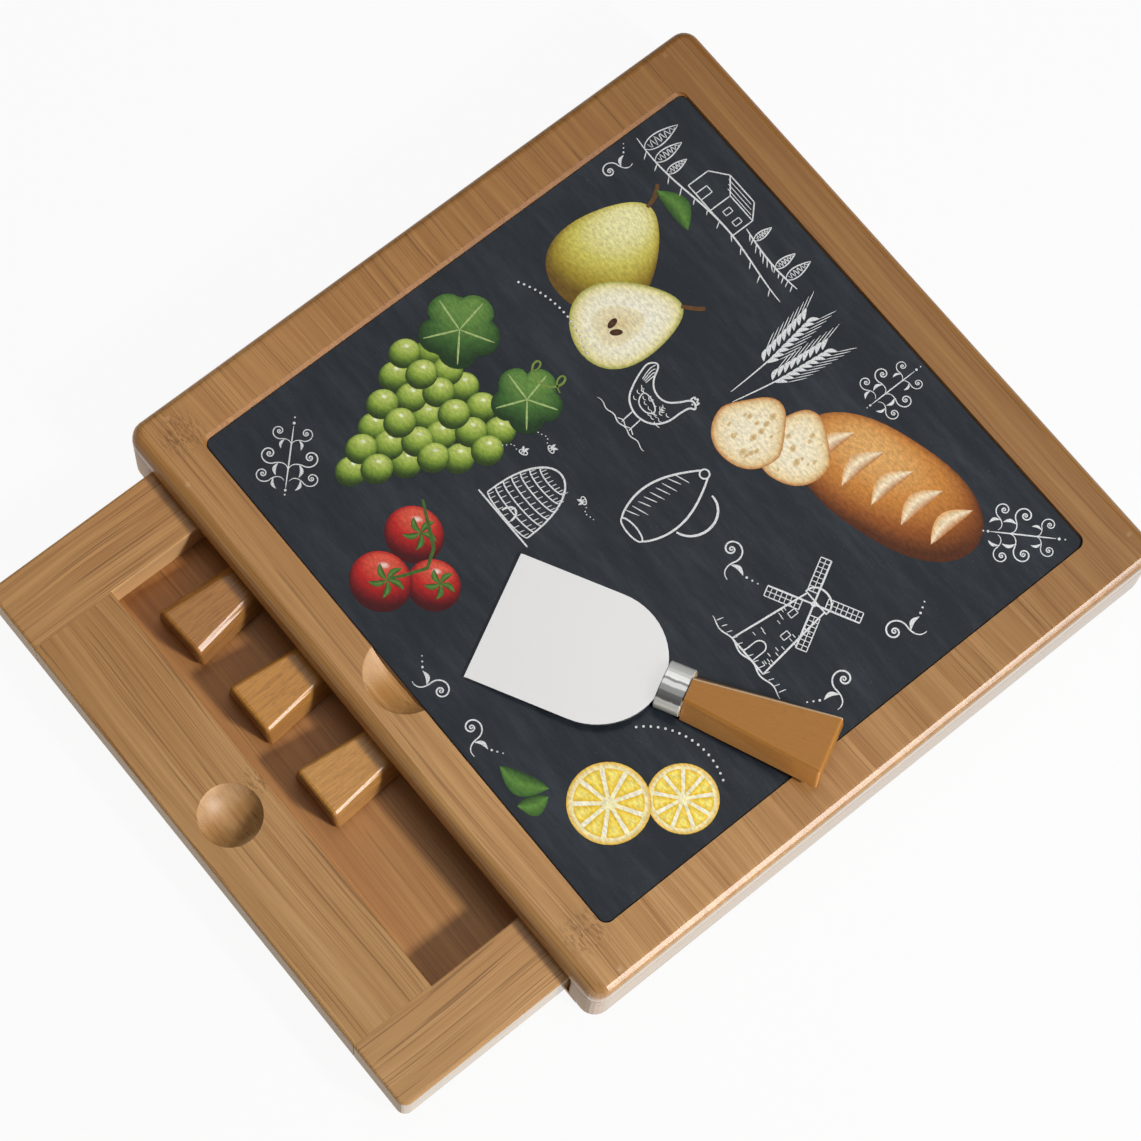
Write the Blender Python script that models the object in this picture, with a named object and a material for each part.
"""A square bamboo cheese board with an inlaid glass plate, a slide-out drawer and four cheese knives.

Lengths are in metres and +Z is up. +X runs to the board's right and the drawer opens along -Y.
The origin is the middle of the board's underside. The drawer is drawn partly open, with three
knives in its tray, and the wide spade knife lies on the glass.
"""

import math

import bmesh
import bpy
from mathutils import Matrix, Vector

# Sizes that several pieces share
FIT_GAP = 0.0003
OVERRUN = 0.002
SAME_PLACE = 0.00001
ARC_STEPS = 6

# The board's body
BOARD_WIDTH = 0.250
BOARD_DEPTH = 0.247
BOARD_HEIGHT = 0.030
BOARD_CORNER_RADIUS = 0.006
PANEL_THICKNESS = 0.010
PANEL_EDGE_ROUND = 0.0035
PANEL_FRONT_ROUND = 0.0055
PANEL_LIP_ROUND = 0.0015
SANDED_ARRIS = 0.0002
SIDE_RAIL_WIDTH = 0.0132
BACK_RAIL_WIDTH = 0.0130
RAIL_FOOT_ROUND = 0.0010
RAIL_MOUTH_ROUND = 0.0016
BOTTOM_THICKNESS = 0.0030
BOTTOM_RABBET_WIDTH = 0.0050

# The glass plate and the recess it lies in
RECESS_BORDER = 0.018
RECESS_DEPTH = 0.0056
RECESS_CORNER_RADIUS = 0.0035
GLASS_THICKNESS = 0.0039
GLASS_SIDE_PLAY = 0.0009
GLASS_END_PLAY = 0.0004
GLASS_SHIFT = 0.0006
GLASS_CORNER_RADIUS = 0.0030
GLASS_ARRIS = 0.0004
PRINT_THICKNESS = 0.0003
PRINT_MARGIN = 0.0003
SCOOP_RADIUS = 0.0144
SCOOP_DEPTH = 0.0060
SCOOP_SETBACK = 0.0032

# The drawer
DRAWER_PULL = 0.068
DRAWER_SIDE_PLAY = 0.0006
DRAWER_TOP_PLAY = 0.0004
DRAWER_END_PLAY = 0.0010
DRAWER_SIDE_RAIL_WIDTH = 0.0258
DRAWER_FRONT_RAIL_WIDTH = 0.0320
DRAWER_BACK_RAIL_WIDTH = 0.0120
DRAWER_FLOOR_THICKNESS = 0.0028
DRAWER_RABBET_WIDTH = 0.0040
DRAWER_CORNER_RADIUS = 0.0034
DRAWER_OUTER_ROUND = 0.0010
DRAWER_INNER_ROUND = 0.0005
DISH_RADIUS = 0.011
DISH_DEPTH = 0.0055

# What all four knives share, measured from the blade's tip along the knife
BLADE_LENGTH = 0.061
BLADE_THICKNESS = 0.0012
GRIND_LENGTH = 0.0010
GRIND_EDGE_THICKNESS = 0.0003
TANG_LENGTH = 0.032
TANG_WIDTH = 0.0050
FERRULE_LENGTH = 0.0091
FERRULE_WIDTH = 0.0168
FERRULE_HEIGHT = 0.0100
FERRULE_END_ROUND = 0.0003
FERRULE_SQUARENESS = 0.8
FERRULE_STEPS = 36
HANDLE_LENGTH = 0.0505
HANDLE_NECK_TOP_WIDTH = 0.0082
HANDLE_NECK_FOOT_WIDTH = 0.0162
HANDLE_NECK_HEIGHT = 0.0104
HANDLE_BUTT_TOP_WIDTH = 0.0205
HANDLE_BUTT_FOOT_WIDTH = 0.0245
HANDLE_BUTT_HEIGHT = 0.0120
HANDLE_ROUND = 0.0016
SOFT_HANDLE_ROUND = 0.0030
CRISP_HANDLE_ROUND = 0.0008
HANDLE_BUTT_ROUND = 0.0010
SOFT_BUTT_ROUND = 0.0016

# The four blades
SPADE_WIDTH = 0.047
SPADE_SHOULDER_LENGTH = 0.0233
SPADE_NECK_WIDTH = 0.0120
FORK_WIDTH = 0.0165
FORK_NOTCH_WIDTH = 0.0060
FORK_NOTCH_DEPTH = 0.0130
FORK_SHOULDER_LENGTH = 0.0180
PLANE_WIDTH = 0.0200
PLANE_SHOULDER_LENGTH = 0.0120
SPEAR_WIDTH = 0.0240
NARROW_NECK_WIDTH = 0.0080

# Where the knives lie: shares of the glass's or the tray's half width, gaps to the tray's front, and turns
SPADE_TIP_SHARES = (0.0198, -0.6394)
SPADE_YAW_DEGREES = 27.2
SPADE_PITCH_DEGREES = 4.25
FORK_PLACE_SHARE = -0.707
FORK_FRONT_GAP = 0.0089
FORK_TURN_DEGREES = 3.0
PLANE_PLACE_SHARE = -0.293
PLANE_FRONT_GAP = 0.0105
PLANE_TURN_DEGREES = 0.3
SPEAR_PLACE_SHARE = 0.133
SPEAR_FRONT_GAP = 0.0102
SPEAR_TURN_DEGREES = -0.2

# Levels and places that follow from the sizes
PANEL_BOTTOM_Z = BOARD_HEIGHT - PANEL_THICKNESS
RECESS_FLOOR_Z = BOARD_HEIGHT - RECESS_DEPTH
PRINT_BOTTOM_Z = RECESS_FLOOR_Z + FIT_GAP
PRINT_TOP_Z = PRINT_BOTTOM_Z + PRINT_THICKNESS
GLASS_BOTTOM_Z = PRINT_TOP_Z + FIT_GAP
GLASS_TOP_Z = GLASS_BOTTOM_Z + GLASS_THICKNESS
BOARD_FRONT_Y = -BOARD_DEPTH / 2
BOARD_BACK_Y = BOARD_DEPTH / 2
BOARD_SIDE_X = BOARD_WIDTH / 2
RAIL_INNER_X = BOARD_SIDE_X - SIDE_RAIL_WIDTH
BACK_RAIL_INNER_Y = BOARD_BACK_Y - BACK_RAIL_WIDTH
RAIL_TOP_Z = PANEL_BOTTOM_Z - FIT_GAP
GLASS_WIDTH = BOARD_WIDTH - 2 * (RECESS_BORDER + GLASS_SIDE_PLAY)
GLASS_DEPTH = BOARD_DEPTH - 2 * (RECESS_BORDER + GLASS_END_PLAY)
DRAWER_BOTTOM_Z = BOTTOM_THICKNESS + FIT_GAP
DRAWER_TOP_Z = PANEL_BOTTOM_Z - DRAWER_TOP_PLAY
DRAWER_FLOOR_Z = DRAWER_BOTTOM_Z + DRAWER_FLOOR_THICKNESS
DRAWER_SIDE_X = RAIL_INNER_X - DRAWER_SIDE_PLAY
DRAWER_FRONT_Y = BOARD_FRONT_Y - DRAWER_PULL
DRAWER_BACK_Y = BACK_RAIL_INNER_Y - DRAWER_END_PLAY - DRAWER_PULL
TRAY_SIDE_X = DRAWER_SIDE_X - DRAWER_SIDE_RAIL_WIDTH
TRAY_FRONT_Y = DRAWER_FRONT_Y + DRAWER_FRONT_RAIL_WIDTH
TRAY_BACK_Y = DRAWER_BACK_Y - DRAWER_BACK_RAIL_WIDTH
BLADE_MIDDLE_Z = FERRULE_HEIGHT / 2
HANDLE_START_X = BLADE_LENGTH + FERRULE_LENGTH + FIT_GAP
KNIFE_LENGTH = HANDLE_START_X + HANDLE_LENGTH


# Scene and materials

def clear_scene():
    """Remove every object, so that the script can be run again in an open file."""
    for item in list(bpy.data.objects):
        bpy.data.objects.remove(item, do_unlink=True)


def new_collection(name):
    collection = bpy.data.collections.new(name)
    bpy.context.scene.collection.children.link(collection)
    return collection


def make_material(name, colour, roughness, metallic=0.0):
    material = bpy.data.materials.new(name)
    material.use_nodes = True
    material.diffuse_color = (*colour, 1.0)
    shader = material.node_tree.nodes["Principled BSDF"]
    shader.inputs["Base Color"].default_value = (*colour, 1.0)
    shader.inputs["Roughness"].default_value = roughness
    shader.inputs["Metallic"].default_value = metallic
    return material


def bamboo(name):
    return make_material(name, (0.42, 0.23, 0.10), 0.35)


def shaded_bamboo(name):
    return make_material(name, (0.30, 0.15, 0.075), 0.45)


def handle_wood(name):
    return make_material(name, (0.45, 0.21, 0.06), 0.30)


def brushed_steel(name):
    return make_material(name, (0.74, 0.73, 0.72), 0.30, 1.0)


def slate_print(name):
    return make_material(name, (0.030, 0.036, 0.045), 0.60)


def clear_glass(name):
    return make_material(name, (0.80, 0.88, 0.86), 0.05)


# Modelling helpers

def add_object(name, mesh, collection, material=None):
    piece = bpy.data.objects.new(name, mesh)
    collection.objects.link(piece)
    if material is not None:
        mesh.materials.append(material)
    return piece


def shade(piece, degrees=40.0):
    """Smooth the round stretches and keep the real edges sharp."""
    piece.data.shade_smooth()
    piece.data.set_sharp_from_angle(angle=math.radians(degrees))


def box_mesh(name, low, high):
    """A box between two corners, as a mesh in world places."""
    low = Vector(low)
    high = Vector(high)
    size = high - low
    place = Matrix.Translation((low + high) / 2) @ Matrix.Diagonal((*size, 1.0))
    work = bmesh.new()
    bmesh.ops.create_cube(work, size=1.0, matrix=place)
    mesh = bpy.data.meshes.new(name)
    work.to_mesh(mesh)
    work.free()
    return mesh


def lies_on(edge, places):
    """True where both ends of an edge have the given coordinate on each given axis."""
    return all(abs(end.co[axis] - value) < SAME_PLACE for end in edge.verts for axis, value in places.items())


def round_edges(mesh, places, radius, steps=ARC_STEPS, behind_y=None):
    """Round the edges that lie at the given coordinates, where asked only those behind a place along Y."""
    work = bmesh.new()
    work.from_mesh(mesh)
    if behind_y is not None:
        everything = work.verts[:] + work.edges[:] + work.faces[:]
        bmesh.ops.bisect_plane(work, geom=everything, plane_co=(0, behind_y, 0), plane_no=(0, 1, 0))
    chosen = [edge for edge in work.edges if lies_on(edge, places)]
    if behind_y is not None:
        chosen = [edge for edge in chosen if min(end.co.y for end in edge.verts) > behind_y - SAME_PLACE]
    bmesh.ops.bevel(work, geom=chosen, offset=radius, segments=steps, profile=0.5, affect="EDGES")
    work.to_mesh(mesh)
    work.free()


def cut(piece, cutter, name):
    """Take a cutter's shape out of a piece with a live Boolean."""
    modifier = piece.modifiers.new(name, "BOOLEAN")
    modifier.operation = "DIFFERENCE"
    modifier.solver = "EXACT"
    modifier.object = cutter


def as_cutter(mesh, name, collection):
    cutter = add_object(name, mesh, collection)
    cutter.hide_render = True
    cutter.display_type = "WIRE"
    return cutter


def ball_cutter(name, centre, radius, collection):
    """A sphere for a routed finger dish."""
    work = bmesh.new()
    place = Matrix.Translation(centre)
    bmesh.ops.create_uvsphere(work, u_segments=56, v_segments=40, radius=radius, matrix=place)
    mesh = bpy.data.meshes.new(name)
    work.to_mesh(mesh)
    work.free()
    return as_cutter(mesh, name, collection)


def ball_for_dish(rim_radius, depth):
    """The radius of the ball that cuts a dish of this rim and depth."""
    return (rim_radius ** 2 + depth ** 2) / (2 * depth)


def extruded_outline(name, points, thickness, middle_z):
    """A flat plate from a closed outline: a filled 2D curve, extruded both ways, as a welded mesh."""
    curve = bpy.data.curves.new(name + "_outline", "CURVE")
    curve.dimensions = "2D"
    curve.fill_mode = "BOTH"
    curve.extrude = thickness / 2
    spline = curve.splines.new("POLY")
    spline.points.add(len(points) - 1)
    for slot, (x, y) in zip(spline.points, points):
        slot.co = (x, y, 0.0, 1.0)
    spline.use_cyclic_u = True
    guide = bpy.data.objects.new(name + "_outline", curve)
    guide.location.z = middle_z
    bpy.context.scene.collection.objects.link(guide)
    bpy.context.view_layer.update()
    evaluated = guide.evaluated_get(bpy.context.evaluated_depsgraph_get())
    mesh = bpy.data.meshes.new_from_object(evaluated)
    mesh.transform(guide.matrix_world)
    bpy.data.objects.remove(guide, do_unlink=True)
    work = bmesh.new()
    work.from_mesh(mesh)
    bmesh.ops.remove_doubles(work, verts=work.verts, dist=SAME_PLACE)
    bmesh.ops.dissolve_limit(work, angle_limit=math.radians(0.5), verts=work.verts, edges=work.edges)
    bmesh.ops.recalc_face_normals(work, faces=work.faces)
    work.to_mesh(mesh)
    work.free()
    return mesh


# The board's body

def rounded_rectangle(half_x, half_y, radius, steps):
    """Points round a rectangle with rounded corners, each with its outward direction."""
    points = []
    for turn, (side_x, side_y) in enumerate(((1, 1), (-1, 1), (-1, -1), (1, -1))):
        centre = Vector((side_x * (half_x - radius), side_y * (half_y - radius)))
        for step in range(steps + 1):
            angle = math.radians(90) * (turn + step / steps)
            outward = Vector((math.cos(angle), math.sin(angle)))
            points.append((centre + radius * outward, outward))
    return points


def edge_round(outward, side_round, front_round):
    """An edge round that grows from the side value to the front value as the outline turns to face -Y."""
    facing = max(0.0, -outward.y)
    share = facing * facing * (3 - 2 * facing)
    return side_round + (front_round - side_round) * share


def panel_mesh():
    """The top panel: a loft of rings up its edge, whose round is larger along the front."""
    outline = rounded_rectangle(BOARD_WIDTH / 2, BOARD_DEPTH / 2, BOARD_CORNER_RADIUS, ARC_STEPS)
    work = bmesh.new()
    rings = []
    for step in range(ARC_STEPS // 2 + 1):
        angle = math.radians(90) * step / (ARC_STEPS // 2)
        ring = []
        for place, outward in outline:
            radius = edge_round(outward, SANDED_ARRIS, PANEL_LIP_ROUND)
            spot = place - outward * radius * (1 - math.sin(angle))
            ring.append(work.verts.new((spot.x, spot.y, PANEL_BOTTOM_Z + radius * (1 - math.cos(angle)))))
        rings.append(ring)
    for step in range(ARC_STEPS + 1):
        angle = math.radians(90) * step / ARC_STEPS
        ring = []
        for place, outward in outline:
            radius = edge_round(outward, PANEL_EDGE_ROUND, PANEL_FRONT_ROUND)
            spot = place - outward * radius * (1 - math.cos(angle))
            ring.append(work.verts.new((spot.x, spot.y, BOARD_HEIGHT - radius * (1 - math.sin(angle)))))
        rings.append(ring)
    count = len(outline)
    for lower, upper in zip(rings, rings[1:]):
        for index in range(count):
            following = (index + 1) % count
            work.faces.new((lower[index], lower[following], upper[following], upper[index]))
    work.faces.new(reversed(rings[0]))
    work.faces.new(rings[-1])
    mesh = bpy.data.meshes.new("top_panel")
    work.to_mesh(mesh)
    work.free()
    return mesh


def make_top_panel(parts, cutters):
    panel = add_object("top_panel", panel_mesh(), parts, bamboo("top_panel_bamboo"))
    half_x = BOARD_WIDTH / 2 - RECESS_BORDER
    half_y = BOARD_DEPTH / 2 - RECESS_BORDER
    low = (-half_x, -half_y, RECESS_FLOOR_Z)
    high = (half_x, half_y, BOARD_HEIGHT + OVERRUN)
    recess = box_mesh("glass_recess_cutter", low, high)
    for x in (-half_x, half_x):
        for y in (-half_y, half_y):
            round_edges(recess, {0: x, 1: y}, RECESS_CORNER_RADIUS)
    cut(panel, as_cutter(recess, "glass_recess_cutter", cutters), "glass_recess")
    ball = ball_for_dish(SCOOP_RADIUS, SCOOP_DEPTH)
    centre = (0, -half_y + SCOOP_SETBACK, BOARD_HEIGHT - SCOOP_DEPTH + ball)
    cut(panel, ball_cutter("scoop_cutter", centre, ball, cutters), "finger_scoop")
    shade(panel)


def make_side_rail(parts, cutters, name, side):
    """One of the two rails that carry the top panel, rabbeted below for the bottom panel."""
    outer_x = side * BOARD_SIDE_X
    inner_x = side * RAIL_INNER_X
    low = (min(outer_x, inner_x), BOARD_FRONT_Y, 0)
    high = (max(outer_x, inner_x), BOARD_BACK_Y, RAIL_TOP_Z)
    mesh = box_mesh(name, low, high)
    round_edges(mesh, {0: outer_x, 1: BOARD_FRONT_Y}, BOARD_CORNER_RADIUS)
    round_edges(mesh, {0: outer_x, 1: BOARD_BACK_Y}, BOARD_CORNER_RADIUS)
    round_edges(mesh, {0: inner_x, 1: BOARD_FRONT_Y}, RAIL_MOUTH_ROUND, steps=3)
    round_edges(mesh, {2: 0}, RAIL_FOOT_ROUND, steps=3)
    rail = add_object(name, mesh, parts, bamboo(name + "_bamboo"))
    cut(rail, bpy.data.objects["bottom_rabbet_cutter"], "bottom_rabbet")
    shade(rail)


def make_bottom_rabbet_cutter(cutters):
    """The room for the bottom panel in the side rails and the back rail."""
    half_x = RAIL_INNER_X + BOTTOM_RABBET_WIDTH
    low = (-half_x, BOARD_FRONT_Y - OVERRUN, -OVERRUN)
    high = (half_x, BACK_RAIL_INNER_Y + BOTTOM_RABBET_WIDTH, BOTTOM_THICKNESS + FIT_GAP)
    as_cutter(box_mesh("bottom_rabbet_cutter", low, high), "bottom_rabbet_cutter", cutters)


def make_back_rail(parts):
    half_x = RAIL_INNER_X - FIT_GAP
    low = (-half_x, BACK_RAIL_INNER_Y, 0)
    high = (half_x, BOARD_BACK_Y, RAIL_TOP_Z)
    mesh = box_mesh("back_rail", low, high)
    round_edges(mesh, {1: BOARD_BACK_Y, 2: 0}, RAIL_FOOT_ROUND, steps=3)
    rail = add_object("back_rail", mesh, parts, bamboo("back_rail_bamboo"))
    cut(rail, bpy.data.objects["bottom_rabbet_cutter"], "bottom_rabbet")
    shade(rail)


def make_bottom_panel(parts):
    """The thin panel that closes the body from below and carries the drawer."""
    half_x = RAIL_INNER_X + BOTTOM_RABBET_WIDTH - FIT_GAP
    low = (-half_x, BOARD_FRONT_Y, 0)
    high = (half_x, BACK_RAIL_INNER_Y + BOTTOM_RABBET_WIDTH - FIT_GAP, BOTTOM_THICKNESS)
    mesh = box_mesh("bottom_panel", low, high)
    panel = add_object("bottom_panel", mesh, parts, shaded_bamboo("bottom_panel_bamboo"))
    shade(panel)


# The glass plate

def rounded_plate(name, half_x, half_y, centre_x, bottom_z, top_z, corner, arris):
    low = (centre_x - half_x, -half_y, bottom_z)
    high = (centre_x + half_x, half_y, top_z)
    mesh = box_mesh(name, low, high)
    for x in (low[0], high[0]):
        for y in (low[1], high[1]):
            round_edges(mesh, {0: x, 1: y}, corner)
    if arris > 0:
        round_edges(mesh, {2: bottom_z}, arris, steps=2)
        round_edges(mesh, {2: top_z}, arris, steps=2)
    return mesh


def make_glass_plate(parts):
    half_x = GLASS_WIDTH / 2
    half_y = GLASS_DEPTH / 2
    mesh = rounded_plate("glass_plate", half_x, half_y, GLASS_SHIFT, GLASS_BOTTOM_Z, GLASS_TOP_Z,
                         GLASS_CORNER_RADIUS, GLASS_ARRIS)
    plate = add_object("glass_plate", mesh, parts, clear_glass("plate_glass"))
    shade(plate)


def make_printed_backing(parts):
    """The dark printed film that is stuck under the glass."""
    half_x = GLASS_WIDTH / 2 - PRINT_MARGIN
    half_y = GLASS_DEPTH / 2 - PRINT_MARGIN
    mesh = rounded_plate("printed_backing", half_x, half_y, GLASS_SHIFT, PRINT_BOTTOM_Z, PRINT_TOP_Z,
                         GLASS_CORNER_RADIUS - PRINT_MARGIN, 0)
    film = add_object("printed_backing", mesh, parts, slate_print("backing_print"))
    shade(film)


# The drawer

def make_drawer_rabbet_cutter(cutters):
    """The room for the tray's floor in the drawer's four rails."""
    half_x = TRAY_SIDE_X + DRAWER_RABBET_WIDTH
    low = (-half_x, TRAY_FRONT_Y - DRAWER_RABBET_WIDTH, DRAWER_BOTTOM_Z - OVERRUN)
    high = (half_x, TRAY_BACK_Y + DRAWER_RABBET_WIDTH, DRAWER_FLOOR_Z + FIT_GAP)
    as_cutter(box_mesh("drawer_rabbet_cutter", low, high), "drawer_rabbet_cutter", cutters)


def make_drawer_side_rail(parts, name, side):
    """A side rail, which runs the drawer's whole length and past the end of the front rail."""
    outer_x = side * DRAWER_SIDE_X
    inner_x = side * TRAY_SIDE_X
    low = (min(outer_x, inner_x), DRAWER_FRONT_Y, DRAWER_BOTTOM_Z)
    high = (max(outer_x, inner_x), DRAWER_BACK_Y, DRAWER_TOP_Z)
    mesh = box_mesh(name, low, high)
    round_edges(mesh, {0: inner_x, 2: DRAWER_TOP_Z}, DRAWER_INNER_ROUND, steps=2, behind_y=TRAY_FRONT_Y)
    round_edges(mesh, {0: outer_x, 1: DRAWER_FRONT_Y}, DRAWER_CORNER_RADIUS)
    round_outer_top_edge(mesh, outer_x)
    rail = add_object(name, mesh, parts, bamboo(name + "_bamboo"))
    cut(rail, bpy.data.objects["drawer_rabbet_cutter"], "floor_rabbet")
    shade(rail)


def round_outer_top_edge(mesh, outer_x):
    """Ease the top edge along the outer side, round the corner and across the front."""
    work = bmesh.new()
    work.from_mesh(mesh)
    chosen = []
    for edge in work.edges:
        middle = (edge.verts[0].co + edge.verts[1].co) / 2
        near_side = abs(middle.x - outer_x) < DRAWER_CORNER_RADIUS - SAME_PLACE
        near_front = abs(middle.y - DRAWER_FRONT_Y) < DRAWER_CORNER_RADIUS - SAME_PLACE
        at_back = abs(middle.y - DRAWER_BACK_Y) < SAME_PLACE
        if lies_on(edge, {2: DRAWER_TOP_Z}) and len(edge.link_faces) == 2 and not at_back:
            levels = sorted(abs(face.normal.z) for face in edge.link_faces)
            if levels[0] < 0.5 < levels[1] and (near_side or near_front):
                chosen.append(edge)
    bmesh.ops.bevel(work, geom=chosen, offset=DRAWER_OUTER_ROUND, segments=3, profile=0.5, affect="EDGES")
    work.to_mesh(mesh)
    work.free()


def make_drawer_front_rail(parts, cutters):
    """The wide front rail between the side rails, with a round finger dish in its top."""
    half_x = TRAY_SIDE_X - FIT_GAP
    low = (-half_x, DRAWER_FRONT_Y, DRAWER_BOTTOM_Z)
    high = (half_x, TRAY_FRONT_Y, DRAWER_TOP_Z)
    mesh = box_mesh("drawer_front_rail", low, high)
    round_edges(mesh, {1: DRAWER_FRONT_Y, 2: DRAWER_TOP_Z}, DRAWER_OUTER_ROUND, steps=3)
    round_edges(mesh, {1: TRAY_FRONT_Y, 2: DRAWER_TOP_Z}, DRAWER_INNER_ROUND, steps=2)
    rail = add_object("drawer_front_rail", mesh, parts, bamboo("drawer_front_rail_bamboo"))
    cut(rail, bpy.data.objects["drawer_rabbet_cutter"], "floor_rabbet")
    ball = ball_for_dish(DISH_RADIUS, DISH_DEPTH)
    centre = (0, (DRAWER_FRONT_Y + TRAY_FRONT_Y) / 2, DRAWER_TOP_Z - DISH_DEPTH + ball)
    cut(rail, ball_cutter("dish_cutter", centre, ball, cutters), "finger_dish")
    shade(rail)


def make_drawer_back_rail(parts):
    half_x = TRAY_SIDE_X - FIT_GAP
    low = (-half_x, TRAY_BACK_Y, DRAWER_BOTTOM_Z)
    high = (half_x, DRAWER_BACK_Y, DRAWER_TOP_Z)
    mesh = box_mesh("drawer_back_rail", low, high)
    round_edges(mesh, {1: TRAY_BACK_Y, 2: DRAWER_TOP_Z}, DRAWER_INNER_ROUND, steps=2)
    rail = add_object("drawer_back_rail", mesh, parts, bamboo("drawer_back_rail_bamboo"))
    cut(rail, bpy.data.objects["drawer_rabbet_cutter"], "floor_rabbet")
    shade(rail)


def make_drawer_floor(parts):
    half_x = TRAY_SIDE_X + DRAWER_RABBET_WIDTH - FIT_GAP
    low = (-half_x, TRAY_FRONT_Y - DRAWER_RABBET_WIDTH + FIT_GAP, DRAWER_BOTTOM_Z)
    high = (half_x, TRAY_BACK_Y + DRAWER_RABBET_WIDTH - FIT_GAP, DRAWER_FLOOR_Z)
    mesh = box_mesh("drawer_floor", low, high)
    floor = add_object("drawer_floor", mesh, parts, shaded_bamboo("drawer_floor_bamboo"))
    shade(floor)


# The knives, each in a frame of its own: the tip's middle at x = 0, the handle's flat underside at z = 0

def mirrored(half):
    """Close an outline that is given for one side, from the tip to the tang's end."""
    return half + [(x, -y) for x, y in reversed(half)]


def tang_points(neck_half):
    """The step from the blade's neck to its tang, and the tang, which ends inside the handle."""
    return [
        (BLADE_LENGTH - FIT_GAP, neck_half),
        (BLADE_LENGTH - FIT_GAP, TANG_WIDTH / 2),
        (BLADE_LENGTH + TANG_LENGTH, TANG_WIDTH / 2),
    ]


def shoulder_points(half_width, neck_half, shoulder_length, steps=12):
    """A quarter ellipse from a straight side in to the neck."""
    start = BLADE_LENGTH - FIT_GAP - shoulder_length
    reach = math.acos(neck_half / half_width)
    stretch = shoulder_length / math.sin(reach)
    points = []
    for step in range(steps):
        angle = reach * step / steps
        points.append((start + stretch * math.sin(angle), half_width * math.cos(angle)))
    return points


def spade_outline():
    half_width = SPADE_WIDTH / 2
    half = [(0, half_width)]
    half += shoulder_points(half_width, SPADE_NECK_WIDTH / 2, SPADE_SHOULDER_LENGTH)
    return mirrored(half + tang_points(SPADE_NECK_WIDTH / 2))


def plane_outline():
    half_width = PLANE_WIDTH / 2
    half = [(0, half_width)]
    half += shoulder_points(half_width, NARROW_NECK_WIDTH / 2, PLANE_SHOULDER_LENGTH)
    return mirrored(half + tang_points(NARROW_NECK_WIDTH / 2))


def fork_outline(steps=8):
    """A narrow blade that ends in two round-nosed prongs with a round-bottomed notch between."""
    half_width = FORK_WIDTH / 2
    notch_half = FORK_NOTCH_WIDTH / 2
    prong_radius = (half_width - notch_half) / 2
    prong_middle = (half_width + notch_half) / 2
    half = []
    for step in range(steps):
        angle = math.radians(90) * step / steps
        half.append((FORK_NOTCH_DEPTH + notch_half * math.cos(angle), notch_half * math.sin(angle)))
    half.append((FORK_NOTCH_DEPTH, notch_half))
    for step in range(steps + 1):
        angle = math.radians(180) * step / steps
        x = prong_radius * (1 - math.sin(angle))
        half.append((x, prong_middle - prong_radius * math.cos(angle)))
    half += shoulder_points(half_width, NARROW_NECK_WIDTH / 2, FORK_SHOULDER_LENGTH)
    half += tang_points(NARROW_NECK_WIDTH / 2)
    return half + [(x, -y) for x, y in reversed(half[1:])]


def spear_outline(steps=22):
    """A leaf blade: a sine bow from the point to its widest place, then in to the neck."""
    half_width = SPEAR_WIDTH / 2
    neck_half = NARROW_NECK_WIDTH / 2
    end = BLADE_LENGTH - FIT_GAP
    half = []
    for step in range(1, steps):
        along_share = step / steps
        bow = math.sin(math.pi * along_share) ** 0.85
        y = half_width * bow + neck_half * along_share ** 3 * (1 - bow)
        half.append((end * along_share, y))
    half += tang_points(neck_half)
    return [(0, 0)] + half + [(x, -y) for x, y in reversed(half)]


def grind_tip(mesh):
    """Thin the blade to its edge over the last stretch before the tip."""
    work = bmesh.new()
    work.from_mesh(mesh)
    everything = work.verts[:] + work.edges[:] + work.faces[:]
    bmesh.ops.bisect_plane(work, geom=everything, plane_co=(GRIND_LENGTH, 0, 0), plane_no=(1, 0, 0))
    thin_share = GRIND_EDGE_THICKNESS / BLADE_THICKNESS
    for point in work.verts:
        if point.co.x < GRIND_LENGTH - SAME_PLACE:
            along_share = point.co.x / GRIND_LENGTH
            share = thin_share + (1 - thin_share) * along_share
            point.co.z = BLADE_MIDDLE_Z + (point.co.z - BLADE_MIDDLE_Z) * share
    work.to_mesh(mesh)
    work.free()


def make_blade(name, outline, pose, parts):
    mesh = extruded_outline(name, outline, BLADE_THICKNESS, BLADE_MIDDLE_Z)
    mesh.name = name
    grind_tip(mesh)
    blade = add_object(name, mesh, parts, brushed_steel(name + "_steel"))
    blade.parent = pose
    shade(blade, 25.0)


def tang_slot_cutter(name, pose, cutters):
    """The slot for the tang, through the ferrule and into the handle."""
    half_width = TANG_WIDTH / 2 + FIT_GAP
    half_height = BLADE_THICKNESS / 2 + FIT_GAP
    low = (BLADE_LENGTH - OVERRUN, -half_width, BLADE_MIDDLE_Z - half_height)
    high = (BLADE_LENGTH + TANG_LENGTH + FIT_GAP, half_width, BLADE_MIDDLE_Z + half_height)
    cutter = as_cutter(box_mesh(name, low, high), name, cutters)
    cutter.parent = pose
    return cutter


def oval_ring(work, x, half_width, half_height):
    """Points round the ferrule's section: a superellipse, which lies between an ellipse and a box."""
    ring = []
    for step in range(FERRULE_STEPS):
        angle = math.tau * step / FERRULE_STEPS
        across = math.cos(angle)
        upward = math.sin(angle)
        y = math.copysign(abs(across) ** FERRULE_SQUARENESS, across) * half_width
        z = math.copysign(abs(upward) ** FERRULE_SQUARENESS, upward) * half_height
        ring.append(work.verts.new((x, y, FERRULE_HEIGHT / 2 + z)))
    return ring


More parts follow.
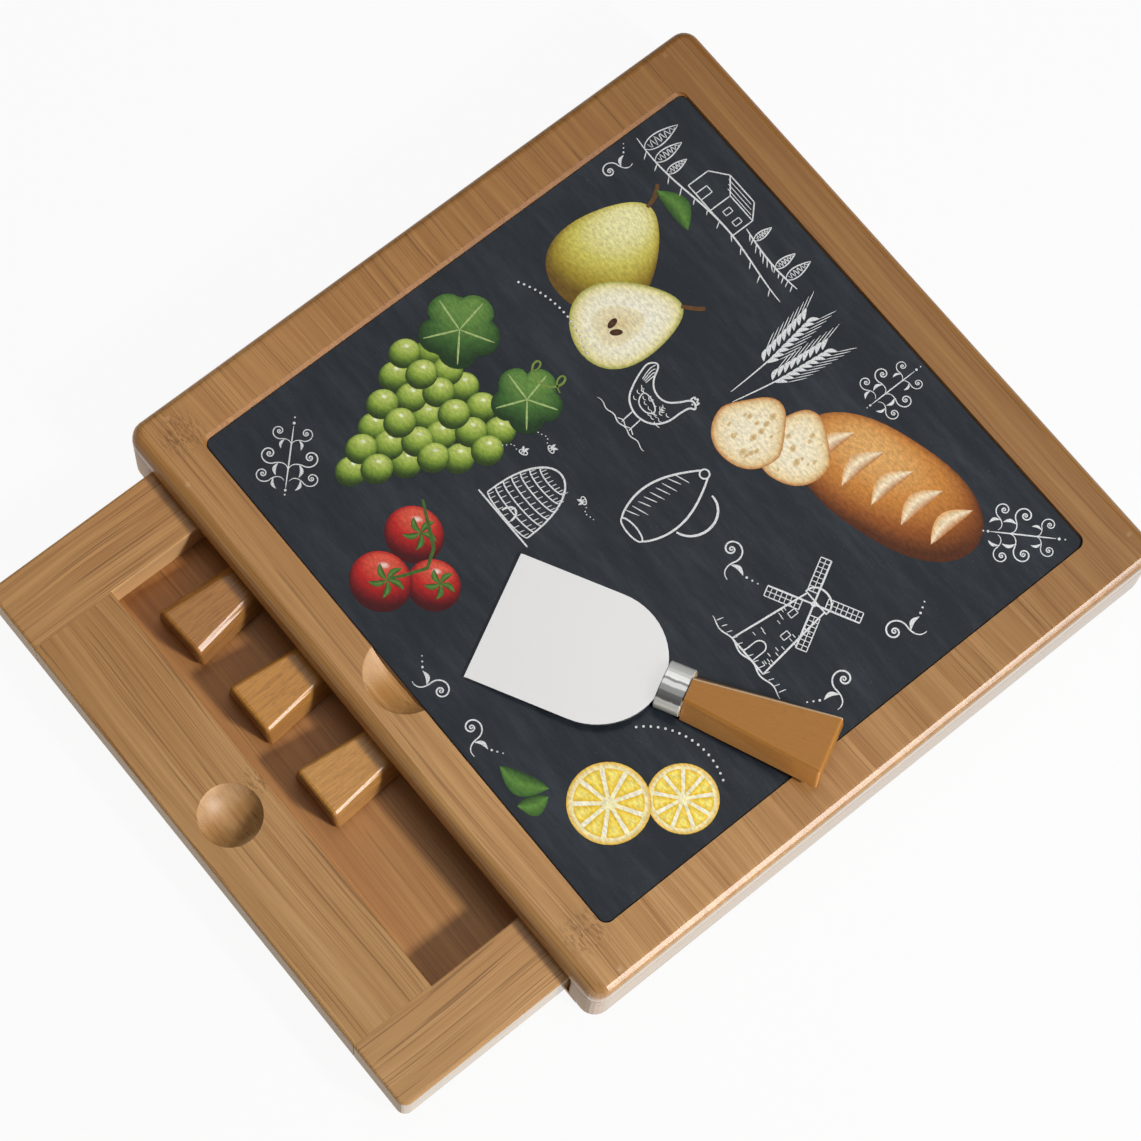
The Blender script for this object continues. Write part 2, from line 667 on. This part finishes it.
def make_ferrule(name, pose, slot, parts):
    """The steel collar between blade and handle: an oval bar with eased ends, slotted for the tang."""
    start = BLADE_LENGTH
    end = BLADE_LENGTH + FERRULE_LENGTH
    stations = (
        (start, FERRULE_END_ROUND),
        (start + FERRULE_END_ROUND, 0),
        (end - FERRULE_END_ROUND, 0),
        (end, FERRULE_END_ROUND),
    )
    work = bmesh.new()
    rings = []
    for x, easing in stations:
        rings.append(oval_ring(work, x, FERRULE_WIDTH / 2 - easing, FERRULE_HEIGHT / 2 - easing))
    work.faces.new(rings[0])
    work.faces.new(rings[-1])
    for ring, next_ring in zip(rings, rings[1:]):
        for index in range(FERRULE_STEPS):
            following = (index + 1) % FERRULE_STEPS
            work.faces.new((ring[index], ring[following], next_ring[following], next_ring[index]))
    bmesh.ops.recalc_face_normals(work, faces=work.faces)
    mesh = bpy.data.meshes.new(name)
    work.to_mesh(mesh)
    work.free()
    ferrule = add_object(name, mesh, parts, brushed_steel(name + "_steel"))
    ferrule.parent = pose
    cut(ferrule, slot, "tang_slot")
    shade(ferrule)


def make_handle(name, pose, slot, edge_radius, butt_radius, parts):
    """A wedge of wood with sloping sides, wider and thicker at its square butt, with rounded edges."""
    start = HANDLE_START_X
    end = KNIFE_LENGTH
    neck_widths = (HANDLE_NECK_FOOT_WIDTH, HANDLE_NECK_TOP_WIDTH)
    butt_widths = (HANDLE_BUTT_FOOT_WIDTH, HANDLE_BUTT_TOP_WIDTH)
    sections = ((start, neck_widths, HANDLE_NECK_HEIGHT), (end, butt_widths, HANDLE_BUTT_HEIGHT))
    work = bmesh.new()
    rings = []
    for x, (foot_width, top_width), height in sections:
        corners = (
            (-foot_width / 2, 0),
            (foot_width / 2, 0),
            (top_width / 2, height),
            (-top_width / 2, height),
        )
        rings.append([work.verts.new((x, y, z)) for y, z in corners])
    work.faces.new(reversed(rings[0]))
    work.faces.new(rings[1])
    for index in range(len(rings[0])):
        following = (index + 1) % len(rings[0])
        work.faces.new((rings[0][index], rings[0][following], rings[1][following], rings[1][index]))
    mesh = bpy.data.meshes.new(name)
    long_edges = [edge for edge in work.edges if abs(edge.verts[0].co.x - edge.verts[1].co.x) > SAME_PLACE]
    bmesh.ops.bevel(work, geom=long_edges, offset=edge_radius, segments=5, profile=0.5, affect="EDGES")
    work.to_mesh(mesh)
    work.free()
    round_edges(mesh, {0: end}, butt_radius, steps=3)
    handle = add_object(name, mesh, parts, handle_wood(name + "_wood"))
    handle.parent = pose
    cut(handle, slot, "tang_slot")
    shade(handle)


def knife_pose(name, place, yaw_degrees, pitch_degrees, parts):
    """An empty at a knife's tip. Its X axis runs from the tip to the butt."""
    pose = bpy.data.objects.new(name + "_pose", None)
    pose.rotation_euler = (0, math.radians(-pitch_degrees), math.radians(yaw_degrees))
    pose.location = place
    parts.objects.link(pose)
    return pose


def make_knife(name, outline, pose, edge_radius, butt_radius, parts, cutters):
    make_blade(name + "_blade", outline, pose, parts)
    slot = tang_slot_cutter(name + "_tang_cutter", pose, cutters)
    make_ferrule(name + "_ferrule", pose, slot, parts)
    make_handle(name + "_handle", pose, slot, edge_radius, butt_radius, parts)


def spade_tip_height():
    """The height of the knife's frame at which the tilted spade's lower tip edge just clears the glass."""
    pitch = math.radians(SPADE_PITCH_DEGREES)
    tip_bottom = (BLADE_MIDDLE_Z - GRIND_EDGE_THICKNESS / 2) * math.cos(pitch)
    ferrule_bottom = BLADE_LENGTH * math.sin(pitch)
    return GLASS_TOP_Z + FIT_GAP - min(tip_bottom, ferrule_bottom)


def make_spade(parts, cutters):
    """The wide knife that lies on the glass, tip down, with its butt over the frame."""
    share_x, share_y = SPADE_TIP_SHARES
    place = (GLASS_SHIFT + share_x * GLASS_WIDTH / 2, share_y * GLASS_DEPTH / 2, spade_tip_height())
    pose = knife_pose("spade", place, SPADE_YAW_DEGREES, SPADE_PITCH_DEGREES, parts)
    make_knife("spade", spade_outline(), pose, CRISP_HANDLE_ROUND, HANDLE_BUTT_ROUND, parts, cutters)


def make_drawer_knives(parts, cutters):
    """The three knives that lie flat in the tray with their butts to the front."""
    knives = (
        ("fork", fork_outline(), SOFT_HANDLE_ROUND, FORK_PLACE_SHARE, FORK_FRONT_GAP, FORK_TURN_DEGREES),
        ("plane", plane_outline(), HANDLE_ROUND, PLANE_PLACE_SHARE, PLANE_FRONT_GAP, PLANE_TURN_DEGREES),
        ("spear", spear_outline(), HANDLE_ROUND, SPEAR_PLACE_SHARE, SPEAR_FRONT_GAP, SPEAR_TURN_DEGREES),
    )
    for name, outline, edge_radius, place_share, front_gap, turn in knives:
        yaw = math.radians(turn - 90)
        tip_x = place_share * TRAY_SIDE_X - KNIFE_LENGTH * math.cos(yaw)
        tip_y = TRAY_FRONT_Y + front_gap - KNIFE_LENGTH * math.sin(yaw)
        pose = knife_pose(name, (tip_x, tip_y, DRAWER_FLOOR_Z + FIT_GAP), turn - 90, 0, parts)
        make_knife(name, outline, pose, edge_radius, SOFT_BUTT_ROUND, parts, cutters)


def main():
    clear_scene()
    parts = new_collection("cheese_board")
    cutters = new_collection("cutters")
    make_bottom_rabbet_cutter(cutters)
    make_drawer_rabbet_cutter(cutters)
    make_top_panel(parts, cutters)
    make_side_rail(parts, cutters, "left_side_rail", -1)
    make_side_rail(parts, cutters, "right_side_rail", 1)
    make_back_rail(parts)
    make_bottom_panel(parts)
    make_glass_plate(parts)
    make_printed_backing(parts)
    make_drawer_side_rail(parts, "drawer_left_rail", -1)
    make_drawer_side_rail(parts, "drawer_right_rail", 1)
    make_drawer_front_rail(parts, cutters)
    make_drawer_back_rail(parts)
    make_drawer_floor(parts)
    make_spade(parts, cutters)
    make_drawer_knives(parts, cutters)


main()
